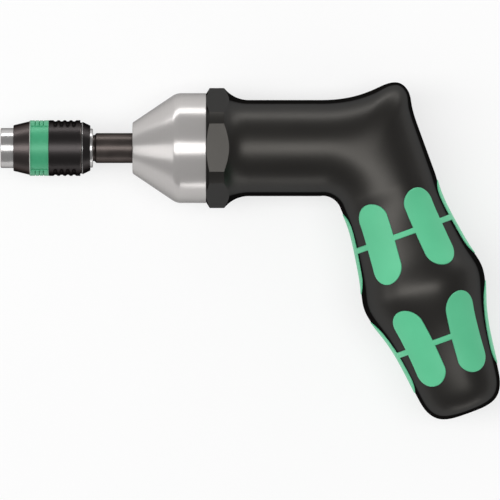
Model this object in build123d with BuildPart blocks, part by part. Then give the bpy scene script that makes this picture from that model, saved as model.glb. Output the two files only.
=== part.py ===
from build123d import *
from math import cos, radians, sin, sqrt
import os

os.makedirs("parts", exist_ok=True)

# A pistol-grip torque screwdriver that lies on its side. Millimetres. The drive axis is X, from the mouth of
# the bit socket back into the handle, +Y is the side of the horn and +Z points up from the bench.

# Fits, on the radius or on each side
running_gap = 0.05
seated_gap = 0.02
cover_gap = 0.1

# Chuck body: a steel tube with a hexagon socket for the bit
bit_across_flats = 6.35
socket_depth = 14.5
socket_chamfer = 0.4
socket_wall = 1.0
nose_length = 13.5
nose_edge = 0.4
tail_step = 1.0
chuck_length = 28.6

# Magnet and lift spring at the bottom of the socket
magnet_pocket_depth = 2.5
magnet_pocket_radius = 2.95
magnet_radius = 2.0
magnet_length = 2.2
lift_wire = 0.4
lift_spring_length = 3.6
lift_turns = 3

# Two balls that hold the bit. They lie just below the surface of the nose.
ball_radius = 1.75
ball_position = 9.5
ball_bite = 0.55
ball_cover = 0.025
ball_lip = 0.2

# Lock sleeve, which slides forward to let the balls out
lock_sleeve_lead = 1.7
lock_sleeve_wall = 1.15
lock_sleeve_lip = 1.4
lock_sleeve_step = 0.55
sleeve_travel = 2.6
release_wire = 0.7
release_turns = 5

# Outer sleeve, which turns freely on the lock sleeve
sleeve_nose = 4.0
sleeve_nose_wall = 0.9
sleeve_cone_length = 5.0
sleeve_cone_step = 0.35
sleeve_front_edge = 0.2
carrier_wall = 0.5
colour_ring_length = 6.1
ring_wall = 0.7
ring_field_drop = 0.2
ring_rim = 0.5
rib_count = 5
rib_depth = 0.37
rib_valley_width = 1.28
rib_sweep = 86
cap_groove = 0.4
cap_length = 2.7
cap_step = 0.55
cap_fall = 1.1
cap_edge_run, cap_edge_drop = 0.4, 0.2
collar_length = 2.2
collar_showing = 0.8
collar_wall = 0.85
collar_edge = 0.3

# Spindle: spigot in the chuck, neck, shaft, flange, sliding hexagon and threaded stud
spigot_radius = 3.6
chuck_pin_radius = 0.75
chuck_pin_inset = 5.6
neck_length = 0.8
shaft_radius = 4.65
shaft_edge = 1.0
bare_shaft_length = 12.3
drive_across_flats = 8.0
flange_rim = 0.1
flange_thickness = 3.0

# Front housing, turned from aluminium
housing_front_radius = 7.9
housing_radius = 17.05
housing_cone_length = 13.6
housing_length = 22.9
housing_soft_corner = 4.0
housing_edge = 0.4
dust_lip = 0.6
shaft_clearance = 0.3
bush_radius = 6.2
bush_length = 11.5
cavity_play = 0.4
spigot_wall = 1.4
housing_spigot_length = 10.0

# Ball clutch
washer_thickness = 0.6
load_washer_thickness = 1.0
clutch_plate_thickness = 4.0
clutch_stations = 12
clutch_ball_count = 6
clutch_ball_radius = 1.5
clutch_pitch_radius = 7.0
clutch_bite = 0.7
plate_gap = 0.4
pressure_plate_room = 1.8
pressure_plate_thickness = 5.0
key_pin_radius = 0.75
key_pin_wall = 0.25
key_pin_length = 5.0
key_pin_count = 3
first_pin_angle = 90
ring_groove_depth = 0.8
retaining_ring_room = 0.5
retaining_ring_thickness = 1.2
retaining_ring_gap = 40

# Torque spring and its adjuster
main_spring_length = 24.0
main_spring_radius = 7.6
main_wire_width = 2.4
main_wire_height = 2.0
main_spring_turns = 6
spring_seat_thickness = 1.5
nut_across_flats = 15.0
adjusting_nut_length = 6.0
lock_nut_length = 4.0
stud_overhang = 1.5
bore_end_room = 2.0

# Handle: hexagon collar, flare, barrel and elbow. The horn's places are measured from the start of the elbow,
# and its heights from the top of the barrel.
hex_corner_step = 1.55
hex_chamfer = 1.0
hex_length = 5.5
flare_radius = 9.8
barrel_wall = 3.9
barrel_length = 35.25
elbow_inner_gap = 5.4
horn_run_at, horn_run_height = 11.45, 1.4
horn_slope_at, horn_slope_height = 17.55, 3.7
horn_crest_at, horn_crest_height = 21.55, 5.3
horn_tip_at, horn_tip_height = 24.55, 5.3
horn_back_at, horn_back_height = 27.55, 2.3
horn_heel_at, horn_heel_height = 28.35, -1.3
horn_foot = 2.0
elbow_sections = 22
insert_wall = 1.15
insert_front_gap = 0.8
insert_length = 9.4
insert_groove_depth = 0.6
insert_groove_width = 3.0

# Grip: a turned form on an axis that leans back from the drive axis. Its back line, which the horn runs into,
# crosses the drive axis behind the start of the elbow.
grip_back_crossing = 32.8
grip_tilt = 20
grip_top_radius = 15.65
grip_overlap = 0.5
grip_neck_at, grip_neck_radius = 18.0, 15.4
grip_swell_at, grip_swell_radius = 32.0, 16.7
grip_rise_at, grip_rise_radius = 39.0, 18.0
grip_bulge_at, grip_bulge_radius = 45.7, 19.45
grip_fall_at, grip_fall_radius = 57.0, 16.75
grip_taper_at, grip_taper_radius = 67.0, 14.6
grip_waist_at, grip_waist_radius = 78.0, 13.2
grip_shoulder_at, grip_shoulder_radius = 82.3, 12.2
grip_corner_at, grip_corner_radius = 85.4, 10.1
grip_length = 87.4

# Soft pads, moulded into pockets in the grip
pad_count = 6
pad_length = 25.6
pad_width = 10.2
pad_depth = 2.0
pad_proud = 0.25
pad_band_width = 1.9
upper_pads_at, upper_band_at = 28.8, 28.4
lower_pads_at, lower_band_at = 63.2, 63.1


def turned(points):
    """A solid turned about the drive axis from a closed outline of (x, radius) points."""
    with BuildPart() as solid:
        with BuildSketch():
            with BuildLine():
                Polyline(*points, close=True)
            make_face()
        revolve(axis=Axis.X)
    return solid.part


def tube(front, rear, inner, outer):
    """A plain ring on the drive axis."""
    return turned([(front, inner), (rear, inner), (rear, outer), (front, outer)])


def coil(front, rear, mean_radius, width, height, turns):
    """A spring of flat wire on the drive axis, its ends on the seats at front and rear."""
    rise = rear - front - height
    with BuildPart() as spring:
        with BuildLine():
            foot = (front + height / 2, 0, 0)
            path = Helix(rise / turns, rise, mean_radius, center=foot, direction=(1, 0, 0))
        start = path @ 0
        with BuildSketch(Plane(origin=start, x_dir=(0, start.Y, start.Z), z_dir=path % 0)):
            Rectangle(width, height)
        sweep(is_frenet=True)
    return spring.part


# Chuck body and what sits in it. Two flats of the socket face up and down, where the balls are.
socket_apothem = bit_across_flats / 2 + running_gap
pocket_floor = socket_depth + magnet_pocket_depth
spigot_start = pocket_floor + socket_wall
ball_rest = socket_apothem + ball_radius - ball_bite
ball_seat_radius = ball_radius - ball_lip
ball_seat_height = ball_rest - sqrt(ball_radius**2 - ball_seat_radius**2)
nose_radius = ball_rest + ball_radius + ball_cover
tail_radius = nose_radius - tail_step
chuck_pin_at = chuck_length - chuck_pin_inset

with BuildPart() as chuck_body:
    with BuildSketch():
        with BuildLine():
            Polyline(
                (0, 0),
                (0, nose_radius - nose_edge),
                (nose_edge, nose_radius),
                (nose_length, nose_radius),
                (nose_length, tail_radius),
                (chuck_length, tail_radius),
                (chuck_length, 0),
                close=True,
            )
        make_face()
    revolve(axis=Axis.X)
    with BuildSketch(Plane.YZ):
        RegularPolygon(socket_apothem, 6, major_radius=False)
    extrude(amount=socket_depth, mode=Mode.SUBTRACT)
    with BuildSketch(Plane.YZ):
        RegularPolygon(socket_apothem + socket_chamfer, 6, major_radius=False)
    extrude(amount=socket_chamfer, taper=45, mode=Mode.SUBTRACT)
    with BuildSketch(Plane.YZ.offset(socket_depth)):
        Circle(magnet_pocket_radius)
    extrude(amount=magnet_pocket_depth, mode=Mode.SUBTRACT)
    with BuildSketch(Plane.YZ.offset(spigot_start)):
        Circle(spigot_radius + seated_gap)
    extrude(amount=chuck_length - spigot_start, mode=Mode.SUBTRACT)
    for side in (1, -1):
        up = Plane(origin=(ball_position, 0, 0), x_dir=(1, 0, 0), z_dir=(0, 0, side))
        with BuildSketch(up):
            Circle(ball_seat_radius)
        extrude(amount=nose_radius, mode=Mode.SUBTRACT)
        with BuildSketch(up.offset(ball_seat_height)):
            Circle(ball_radius + running_gap)
        extrude(amount=nose_radius, mode=Mode.SUBTRACT)
    with BuildSketch(Plane.XZ):
        with Locations((chuck_pin_at, 0)):
            Circle(chuck_pin_radius + seated_gap)
    extrude(amount=nose_radius, both=True, mode=Mode.SUBTRACT)

with BuildPart() as bit_magnet:
    with BuildSketch(Plane.YZ.offset(pocket_floor - magnet_length)):
        Circle(magnet_radius)
    extrude(amount=magnet_length)

lift_radius = magnet_pocket_radius - cover_gap - lift_wire / 2
with BuildPart() as bit_lift_spring:
    add(coil(pocket_floor - lift_spring_length, pocket_floor, lift_radius, lift_wire, lift_wire, lift_turns))

with BuildPart() as lock_ball_upper:
    with Locations((ball_position, 0, ball_rest)):
        Sphere(ball_radius)

with BuildPart() as lock_ball_lower:
    add(lock_ball_upper.part)
    mirror(about=Plane.XY, mode=Mode.REPLACE)

# Lock sleeve: its land holds the balls in, and the cone behind it lets them out as the sleeve slides forward.
land_radius = nose_radius + running_gap
land_end = ball_position + running_gap
release_slope = ball_bite / sleeve_travel
cone_end = land_end + sleeve_travel + ball_bite
recess_radius = land_radius + release_slope * (cone_end - land_end)
recess_end = ball_position + ball_radius + sleeve_travel + ball_bite
collar_front = chuck_length - collar_length
lock_sleeve_front = ball_position - lock_sleeve_lead
lock_sleeve_rear = collar_front - cover_gap
lock_sleeve_radius = land_radius + lock_sleeve_wall
lip_front = lock_sleeve_rear - lock_sleeve_lip
step_radius = lock_sleeve_radius - lock_sleeve_step

with BuildPart() as lock_sleeve:
    with BuildSketch():
        with BuildLine():
            Polyline(
                (lock_sleeve_front, land_radius),
                (land_end, land_radius),
                (cone_end, recess_radius),
                (recess_end, recess_radius),
                (recess_end, land_radius),
                (lip_front, land_radius),
                (lip_front, tail_radius + running_gap),
                (lock_sleeve_rear, tail_radius + running_gap),
                (lock_sleeve_rear, step_radius),
                (lip_front, step_radius),
                (lip_front, lock_sleeve_radius),
                (lock_sleeve_front, lock_sleeve_radius),
                close=True,
            )
        make_face()
    revolve(axis=Axis.X)

release_radius = (tail_radius + land_radius) / 2
with BuildPart() as release_spring:
    add(coil(nose_length, lip_front, release_radius, release_wire, release_wire, release_turns))

# Outer sleeve: a carrier with a cone in front, a coloured ring, a ribbed ring and a rear cap.
carrier_bore = lock_sleeve_radius + running_gap
carrier_radius = carrier_bore + carrier_wall
ring_radius = carrier_radius + ring_wall
colour_ring_front = sleeve_nose + sleeve_cone_length
rib_ring_front = colour_ring_front + colour_ring_length
cap_rear = chuck_length - collar_showing
cap_front = cap_rear - cap_length
cap_radius = ring_radius - cap_step
rib_ring_rear = cap_front - cap_groove
collar_radius = tail_radius + collar_wall

with BuildPart() as sleeve_core:
    with BuildSketch():
        with BuildLine():
            Polyline(
                (sleeve_nose, nose_radius + cover_gap),
                (lock_sleeve_front - cover_gap, nose_radius + cover_gap),
                (lock_sleeve_front - cover_gap, carrier_bore),
                (cap_front, carrier_bore),
                (cap_front, carrier_radius),
                (colour_ring_front, carrier_radius),
                (colour_ring_front, ring_radius - sleeve_cone_step),
                (sleeve_nose, nose_radius + sleeve_nose_wall),
                close=True,
            )
        make_face()
    revolve(axis=Axis.X)
    front_rim = edges().filter_by(GeomType.CIRCLE).group_by(Axis.X)[0].sort_by(SortBy.RADIUS)[-1]
    fillet(front_rim, radius=sleeve_front_edge)

with BuildPart() as colour_ring:
    field_radius = ring_radius - ring_field_drop
    rim_rear = rib_ring_front - ring_rim
    add(
        turned(
            [
                (colour_ring_front, carrier_radius + seated_gap),
                (rib_ring_front, carrier_radius + seated_gap),
                (rib_ring_front, ring_radius),
                (rim_rear, ring_radius),
                (rim_rear, field_radius),
                (colour_ring_front + ring_rim, field_radius),
                (colour_ring_front + ring_rim, ring_radius),
                (colour_ring_front, ring_radius),
            ]
        )
    )

# The ribs run round the two sides of the ring and leave smooth fields at the top and the bottom.
rib_pitch = (rib_ring_rear - rib_ring_front) / rib_count
with BuildPart() as ribbed_ring:
    add(tube(rib_ring_front, rib_ring_rear, carrier_radius + seated_gap, ring_radius))
    for side in (0, 180):
        rib_plane = Plane.XY.rotated((side - rib_sweep / 2, 0, 0))
        for rib in range(rib_count - 1):
            valley = rib_ring_front + rib_pitch * (rib + 1)
            valley_front = (valley - rib_valley_width / 2, ring_radius)
            valley_rear = (valley + rib_valley_width / 2, ring_radius)
            with BuildSketch(rib_plane):
                with BuildLine():
                    ThreePointArc(valley_front, (valley, ring_radius - rib_depth), valley_rear)
                    Polyline(valley_rear, (valley, ring_radius + rib_depth), valley_front)
                make_face()
            revolve(axis=Axis.X, revolution_arc=rib_sweep, mode=Mode.SUBTRACT)

with BuildPart() as sleeve_cap:
    with BuildSketch():
        with BuildLine():
            Polyline(
                (cap_front, step_radius + running_gap),
                (collar_front, step_radius + running_gap),
                (collar_front, collar_radius + cover_gap),
                (cap_rear, collar_radius + cover_gap),
                (cap_rear, cap_radius - cap_fall),
                (cap_front + cap_edge_run, cap_radius),
                (cap_front, cap_radius - cap_edge_drop),
                close=True,
            )
        make_face()
    revolve(axis=Axis.X)

with BuildPart() as rear_collar:
    add(tube(collar_front, chuck_length, tail_radius + seated_gap, collar_radius))
    rear_rim = edges().filter_by(GeomType.CIRCLE).group_by(Axis.X)[-1].sort_by(SortBy.RADIUS)[-1]
    fillet(rear_rim, radius=collar_edge)

with BuildPart() as chuck_pin:
    with BuildSketch(Plane.XZ):
        with Locations((chuck_pin_at, 0)):
            Circle(chuck_pin_radius)
    extrude(amount=tail_radius - cover_gap, both=True)

# Places of the clutch along the drive axis, from the front bush back to the end of the stud
housing_front = chuck_length + bare_shaft_length
bush_front = housing_front + dust_lip
front_washer_at = bush_front + bush_length
flange_front = front_washer_at + washer_thickness
load_washer_at = flange_front + flange_thickness
clutch_plate_front = load_washer_at + load_washer_thickness
clutch_plate_rear = clutch_plate_front + clutch_plate_thickness
pressure_front = clutch_plate_rear + plate_gap
pressure_rear = pressure_front + pressure_plate_thickness
clutch_ball_at = clutch_plate_rear + clutch_ball_radius - clutch_bite
spring_rear = pressure_rear + main_spring_length
adjuster_front = spring_rear + spring_seat_thickness
lock_nut_front = adjuster_front + adjusting_nut_length
stud_end = lock_nut_front + lock_nut_length + stud_overhang
drive_hex_end = pressure_rear + pressure_plate_thickness

# Radii of the clutch, from its circle of balls out to the bore of the housing and the handle
stud_radius = drive_across_flats / 2
flange_radius = clutch_pitch_radius + clutch_ball_radius + flange_rim
cavity_radius = flange_radius + cavity_play
key_pin_pitch_radius = cavity_radius + key_pin_wall + key_pin_radius
mechanism_bore = key_pin_pitch_radius + key_pin_radius + key_pin_wall
pressure_plate_radius = mechanism_bore - pressure_plate_room

with BuildPart() as spindle:
    shaft_front = chuck_length + neck_length
    with BuildSketch():
        with BuildLine():
            Polyline(
                (spigot_start, 0),
                (spigot_start, spigot_radius),
                (shaft_front, spigot_radius),
                (shaft_front + shaft_edge, shaft_radius),
                (flange_front, shaft_radius),
                (flange_front, flange_radius),
                (load_washer_at, flange_radius),
                (load_washer_at, shaft_radius),
                (clutch_plate_rear, shaft_radius),
                (clutch_plate_rear, stud_radius),
                (stud_end, stud_radius),
                (stud_end, 0),
                close=True,
            )
        make_face()
    revolve(axis=Axis.X)
    with BuildSketch(Plane.YZ.offset(clutch_plate_rear)):
        RegularPolygon(drive_across_flats / 2, 6, major_radius=False)
    extrude(amount=drive_hex_end - clutch_plate_rear)
    with BuildSketch(Plane.XZ):
        with Locations((chuck_pin_at, 0)):
            Circle(chuck_pin_radius + seated_gap)
    extrude(amount=nose_radius, both=True, mode=Mode.SUBTRACT)

# Front housing: a cone and a cylinder outside, stepped bores inside and a spigot into the handle
housing_rear = housing_front + housing_length
housing_cone_end = housing_front + housing_cone_length
spigot_outer = mechanism_bore + spigot_wall
spigot_rear = housing_rear + housing_spigot_length
pin_front = clutch_plate_rear - key_pin_length

with BuildPart() as front_housing:
    with BuildSketch():
        with BuildLine():
            Polyline(
                (housing_front, shaft_radius + shaft_clearance),
                (bush_front, shaft_radius + shaft_clearance),
                (bush_front, bush_radius + seated_gap),
                (front_washer_at, bush_radius + seated_gap),
                (front_washer_at, cavity_radius),
                (clutch_plate_front, cavity_radius),
                (clutch_plate_front, mechanism_bore),
                (spigot_rear, mechanism_bore),
                (spigot_rear, spigot_outer),
                (housing_rear, spigot_outer),
                (housing_rear, housing_radius),
                (housing_cone_end, housing_radius),
                (housing_front, housing_front_radius),
                close=True,
            )
        make_face()
    revolve(axis=Axis.X)
    rims = edges().filter_by(GeomType.CIRCLE)
    shoulder = rims.sort_by(SortBy.RADIUS)[-2:].sort_by(Axis.X)
    fillet(shoulder[0], radius=housing_soft_corner)
    outer_rims = edges().filter_by(GeomType.CIRCLE)
    chamfer(outer_rims.sort_by(SortBy.RADIUS)[-2:].sort_by(Axis.X)[-1], length=housing_edge)
    chamfer(outer_rims.group_by(Axis.X)[0].sort_by(SortBy.RADIUS)[-1], length=housing_edge)
    add(
        tube(
            clutch_plate_rear,
            clutch_plate_rear + retaining_ring_thickness + seated_gap,
            mechanism_bore - cover_gap,
            mechanism_bore + ring_groove_depth,
        ),
        mode=Mode.SUBTRACT,
    )
    with BuildSketch(Plane.YZ.offset(pin_front)):
        with PolarLocations(key_pin_pitch_radius, key_pin_count, start_angle=first_pin_angle):
            Circle(key_pin_radius + seated_gap)
    extrude(amount=clutch_plate_front - pin_front, mode=Mode.SUBTRACT)

with BuildPart() as front_bush:
    add(tube(bush_front, front_washer_at, shaft_radius + running_gap, bush_radius))

washer_bore = shaft_radius + running_gap
with BuildPart() as front_thrust_washer:
    add(tube(front_washer_at, flange_front, washer_bore, flange_radius))

with BuildPart() as load_thrust_washer:
    add(tube(load_washer_at, clutch_plate_front, washer_bore, flange_radius))

# Clutch: balls in the pressure plate ride over twelve stations in the fixed plate
with BuildPart() as clutch_plate:
    plate_radius = mechanism_bore - seated_gap
    add(tube(clutch_plate_front, clutch_plate_rear, washer_bore, plate_radius))
    with BuildSketch(Plane.YZ.offset(clutch_plate_front)):
        with PolarLocations(key_pin_pitch_radius, key_pin_count, start_angle=first_pin_angle):
            Circle(key_pin_radius + seated_gap)
    extrude(amount=clutch_plate_thickness, mode=Mode.SUBTRACT)
    with Locations(Plane.YZ.offset(clutch_ball_at)):
        with PolarLocations(clutch_pitch_radius, clutch_stations):
            Sphere(clutch_ball_radius + running_gap, mode=Mode.SUBTRACT)

with BuildPart() as clutch_key_pins:
    with BuildSketch(Plane.YZ.offset(pin_front)):
        with PolarLocations(key_pin_pitch_radius, key_pin_count, start_angle=first_pin_angle):
            Circle(key_pin_radius)
    extrude(amount=key_pin_length)

with BuildPart() as clutch_retaining_ring:
    ring_outer = mechanism_bore + ring_groove_depth - cover_gap
    with BuildSketch(Plane.YZ.offset(clutch_plate_rear)):
        Circle(ring_outer)
        Circle(pressure_plate_radius + retaining_ring_room, mode=Mode.SUBTRACT)
        with BuildLine():
            half_gap = radians(retaining_ring_gap / 2)
            reach = ring_outer * 2
            corners = [(reach * cos(half_gap), side * reach * sin(half_gap)) for side in (1, -1)]
            Polyline((0, 0), *corners, close=True)
        make_face(mode=Mode.SUBTRACT)
    extrude(amount=retaining_ring_thickness)

with BuildPart() as pressure_plate:
    add(tube(pressure_front, pressure_rear, stud_radius, pressure_plate_radius))
    with BuildSketch(Plane.YZ.offset(pressure_front)):
        RegularPolygon(drive_across_flats / 2 + running_gap, 6, major_radius=False)
    extrude(amount=pressure_plate_thickness, mode=Mode.SUBTRACT)
    with Locations(Plane.YZ.offset(clutch_ball_at)):
        with PolarLocations(clutch_pitch_radius, clutch_ball_count):
            Sphere(clutch_ball_radius + seated_gap, mode=Mode.SUBTRACT)

with BuildPart() as clutch_balls:
    with Locations(Plane.YZ.offset(clutch_ball_at)):
        with PolarLocations(clutch_pitch_radius, clutch_ball_count):
            Sphere(clutch_ball_radius)

# Torque spring, its seat, and the two nuts that set and lock its load
with BuildPart() as main_spring:
    add(
        coil(
            pressure_rear,
            spring_rear,
            main_spring_radius,
            main_wire_width,
            main_wire_height,
            main_spring_turns,
        )
    )

with BuildPart() as spring_seat:
    add(tube(spring_rear, adjuster_front, stud_radius + seated_gap, pressure_plate_radius))

with BuildPart() as adjusting_nut:
    with BuildSketch(Plane.YZ.offset(adjuster_front)):
        RegularPolygon(nut_across_flats / 2, 6, major_radius=False)
        Circle(stud_radius + seated_gap, mode=Mode.SUBTRACT)
    extrude(amount=adjusting_nut_length)

with BuildPart() as lock_nut:
    with BuildSketch(Plane.YZ.offset(lock_nut_front)):
        RegularPolygon(nut_across_flats / 2, 6, major_radius=False)
        Circle(stud_radius + seated_gap, mode=Mode.SUBTRACT)
    extrude(amount=lock_nut_length)

# Threaded insert, moulded into the handle, which the housing's spigot screws into
insert_front = housing_rear + insert_front_gap
insert_rear = insert_front + insert_length
insert_bore = spigot_outer + running_gap
insert_radius = insert_bore + insert_wall
groove_front = insert_front + (insert_length - insert_groove_width) / 2
groove_rear = groove_front + insert_groove_width
groove_radius = insert_radius - insert_groove_depth

with BuildPart() as threaded_insert:
    add(
        turned(
            [
                (insert_front, insert_bore),
                (insert_rear, insert_bore),
                (insert_rear, insert_radius),
                (groove_rear, insert_radius),
                (groove_rear, groove_radius),
                (groove_front, groove_radius),
                (groove_front, insert_radius),
                (insert_front, insert_radius),
            ]
        )
    )

# Handle body. The elbow turns from the barrel to the grip about a point under the barrel, and each of its
# sections is an ellipse that stands on a ray from that point. The horn is where the rays reach furthest. The
# loft runs through half sections and is mirrored, because one through whole ellipses fails at some sizes.
barrel_radius = mechanism_bore + barrel_wall
elbow_start = housing_rear + barrel_length
tilt = radians(grip_tilt)
grip_down = Vector(sin(tilt), -cos(tilt), 0)
grip_back = Vector(cos(tilt), sin(tilt), 0)
grip_origin = Vector(elbow_start + grip_back_crossing - grip_top_radius / cos(tilt), 0, 0)
grip_plane = Plane(origin=grip_origin, x_dir=grip_down, z_dir=(0, 0, 1))
grip_axis = Axis(grip_origin, grip_down)
elbow_pivot = Vector(elbow_start, -barrel_radius - elbow_inner_gap, 0)
elbow_bend = 90 - grip_tilt
grip_offset = (grip_origin - elbow_pivot).dot(grip_back)
grip_top = (elbow_pivot - grip_origin).dot(grip_down)


def between(start, end, share):
    return start + (end - start) * share


def grip_form(growth):
    """The turned form of the grip, with growth added to its radius. It starts a little inside the elbow."""
    start = grip_top - grip_overlap
    with BuildPart() as form:
        with BuildSketch(grip_plane):
            with BuildLine():
                side = Spline(
                    (start, grip_top_radius - seated_gap + growth),
                    (grip_neck_at, grip_neck_radius + growth),
                    (grip_swell_at, grip_swell_radius + growth),
                    (grip_rise_at, grip_rise_radius + growth),
                    (grip_bulge_at, grip_bulge_radius + growth),
                    (grip_fall_at, grip_fall_radius + growth),
                    (grip_taper_at, grip_taper_radius + growth),
                    (grip_waist_at, grip_waist_radius + growth),
                    (grip_shoulder_at, grip_shoulder_radius + growth),
                    (grip_corner_at, grip_corner_radius + growth),
                    (grip_length + growth, 0),
                    tangents=((1, 0), (0, -1)),
                )
                Polyline(side @ 1, (start, 0), side @ 0)
            make_face()
        revolve(axis=grip_axis)
    return form.part


def pad_cutters(centre, band, gap):
    """Six rounded slots round the grip and the band that joins them, drawn in by a gap on every side."""
    with BuildPart() as cutters:
        for pad in range(pad_count):
            turn = radians(360 / pad_count * (pad + 0.5))
            outward = grip_back * sin(turn) + Vector(0, 0, 1) * cos(turn)
            with BuildSketch(Plane(origin=grip_origin + grip_down * centre, x_dir=grip_down, z_dir=outward)):
                SlotOverall(pad_length - 2 * gap, pad_width - 2 * gap)
            extrude(amount=grip_bulge_radius * 2)
        band_start = grip_origin + grip_down * (band - pad_band_width / 2 + gap)
        with BuildSketch(Plane(origin=band_start, x_dir=grip_back, z_dir=grip_down)):
            Circle(grip_bulge_radius * 2)
        extrude(amount=pad_band_width - 2 * gap)
    return cutters.part


grip_skin = grip_form(0)
pad_outside = grip_form(pad_proud)
pad_floor = grip_form(-pad_depth)
pocket_floor_form = grip_form(-pad_depth - seated_gap)
upper_pockets = pad_cutters(upper_pads_at, upper_band_at, 0)
lower_pockets = pad_cutters(lower_pads_at, lower_band_at, 0)

with BuildPart() as pockets:
    add(upper_pockets)
    add(lower_pockets)
    add(pocket_floor_form, mode=Mode.SUBTRACT)

barrel_top = Vector(elbow_start, barrel_radius, 0)
grip_back_foot = grip_origin + grip_back * grip_top_radius - grip_down * horn_foot
with BuildLine() as horn_line:
    crest = Spline(
        barrel_top,
        barrel_top + (horn_run_at, horn_run_height),
        barrel_top + (horn_slope_at, horn_slope_height),
        barrel_top + (horn_crest_at, horn_crest_height),
        barrel_top + (horn_tip_at, horn_tip_height),
        barrel_top + (horn_back_at, horn_back_height),
        barrel_top + (horn_heel_at, horn_heel_height),
        grip_back_foot,
        tangents=((1, 0), grip_down),
    )
    Line(crest @ 1, grip_origin + grip_back * grip_top_radius + grip_down * grip_top)
horn_outline = horn_line.wires()[0]

with BuildPart() as elbow:
    for section in range(elbow_sections + 1):
        reach = horn_outline @ (section / elbow_sections) - elbow_pivot
        ray = reach.normalized()
        share = ray.get_angle(Vector(0, 1, 0)) / elbow_bend
        inner = between(elbow_inner_gap, grip_offset - grip_top_radius, share)
        station = Plane(
            origin=elbow_pivot + ray * ((inner + reach.length) / 2),
            x_dir=ray,
            z_dir=ray.rotate(Axis.Z, -90),
        )
        half_reach = (reach.length - inner) / 2
        half_height = between(barrel_radius, grip_top_radius, share)
        with BuildSketch(station):
            with BuildLine():
                half = EllipticalCenterArc((0, 0), half_reach, half_height, 0, arc_size=180)
                Line(half @ 1, half @ 0)
            make_face()
    loft()
    mirror(about=Plane.XY)

hex_front = housing_rear
hex_rear = hex_front + hex_length
hex_corner_radius = housing_radius + hex_corner_step
flare_drop = hex_corner_radius - barrel_radius
flare_end = hex_rear + sqrt(flare_radius**2 - (flare_radius - flare_drop) ** 2)

with BuildPart() as handle_body:
    with BuildSketch():
        with BuildLine():
            Polyline(
                (elbow_start, barrel_radius),
                (elbow_start, 0),
                (hex_front, 0),
                (hex_front, housing_radius),
                (hex_front + hex_chamfer, hex_corner_radius),
                (hex_rear, hex_corner_radius),
            )
            RadiusArc((hex_rear, hex_corner_radius), (flare_end, barrel_radius), -flare_radius)
            Line((flare_end, barrel_radius), (elbow_start, barrel_radius))
        make_face()
    revolve(axis=Axis.X)
    with BuildSketch(Plane.YZ.offset(hex_front)):
        Circle(hex_corner_radius + flare_drop)
        RegularPolygon(housing_radius, 6, major_radius=False, mode=Mode.SUBTRACT)
    extrude(amount=flare_end - hex_front, mode=Mode.SUBTRACT)
    add(elbow.part)
    add(grip_skin)
    add(pockets.part, mode=Mode.SUBTRACT)
    add(tube(hex_front, insert_front, 0, insert_radius), mode=Mode.SUBTRACT)
    add(
        turned(
            [
                (insert_front, 0),
                (insert_rear + seated_gap, 0),
                (insert_rear + seated_gap, insert_radius + seated_gap),
                (groove_rear - seated_gap, insert_radius + seated_gap),
                (groove_rear - seated_gap, groove_radius + seated_gap),
                (groove_front + seated_gap, groove_radius + seated_gap),
                (groove_front + seated_gap, insert_radius + seated_gap),
                (insert_front, insert_radius + seated_gap),
            ]
        ),
        mode=Mode.SUBTRACT,
    )
    with BuildSketch(Plane.YZ.offset(insert_rear)):
        Circle(mechanism_bore)
    extrude(amount=stud_end + bore_end_room - insert_rear, mode=Mode.SUBTRACT)

with BuildPart() as upper_grip_pads:
    add(pad_outside)
    add(pad_floor, mode=Mode.SUBTRACT)
    add(pad_cutters(upper_pads_at, upper_band_at, running_gap), mode=Mode.INTERSECT)

with BuildPart() as lower_grip_pads:
    add(pad_outside)
    add(pad_floor, mode=Mode.SUBTRACT)
    add(pad_cutters(lower_pads_at, lower_band_at, running_gap), mode=Mode.INTERSECT)

pieces = {
    "chuck_body": chuck_body,
    "bit_magnet": bit_magnet,
    "bit_lift_spring": bit_lift_spring,
    "lock_ball_upper": lock_ball_upper,
    "lock_ball_lower": lock_ball_lower,
    "lock_sleeve": lock_sleeve,
    "release_spring": release_spring,
    "sleeve_core": sleeve_core,
    "colour_ring": colour_ring,
    "ribbed_ring": ribbed_ring,
    "sleeve_cap": sleeve_cap,
    "rear_collar": rear_collar,
    "chuck_pin": chuck_pin,
    "spindle": spindle,
    "front_housing": front_housing,
    "front_bush": front_bush,
    "front_thrust_washer": front_thrust_washer,
    "load_thrust_washer": load_thrust_washer,
    "clutch_plate": clutch_plate,
    "clutch_key_pins": clutch_key_pins,
    "clutch_retaining_ring": clutch_retaining_ring,
    "pressure_plate": pressure_plate,
    "clutch_balls": clutch_balls,
    "main_spring": main_spring,
    "spring_seat": spring_seat,
    "adjusting_nut": adjusting_nut,
    "lock_nut": lock_nut,
    "threaded_insert": threaded_insert,
    "handle_body": handle_body,
    "upper_grip_pads": upper_grip_pads,
    "lower_grip_pads": lower_grip_pads,
}
for name, piece in pieces.items():
    piece.part.label = name
    export_step(piece.part, f"parts/{name}.step")
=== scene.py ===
import math

import bmesh
import bpy
from mathutils import Matrix, Vector
from mathutils.geometry import interpolate_bezier


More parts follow.
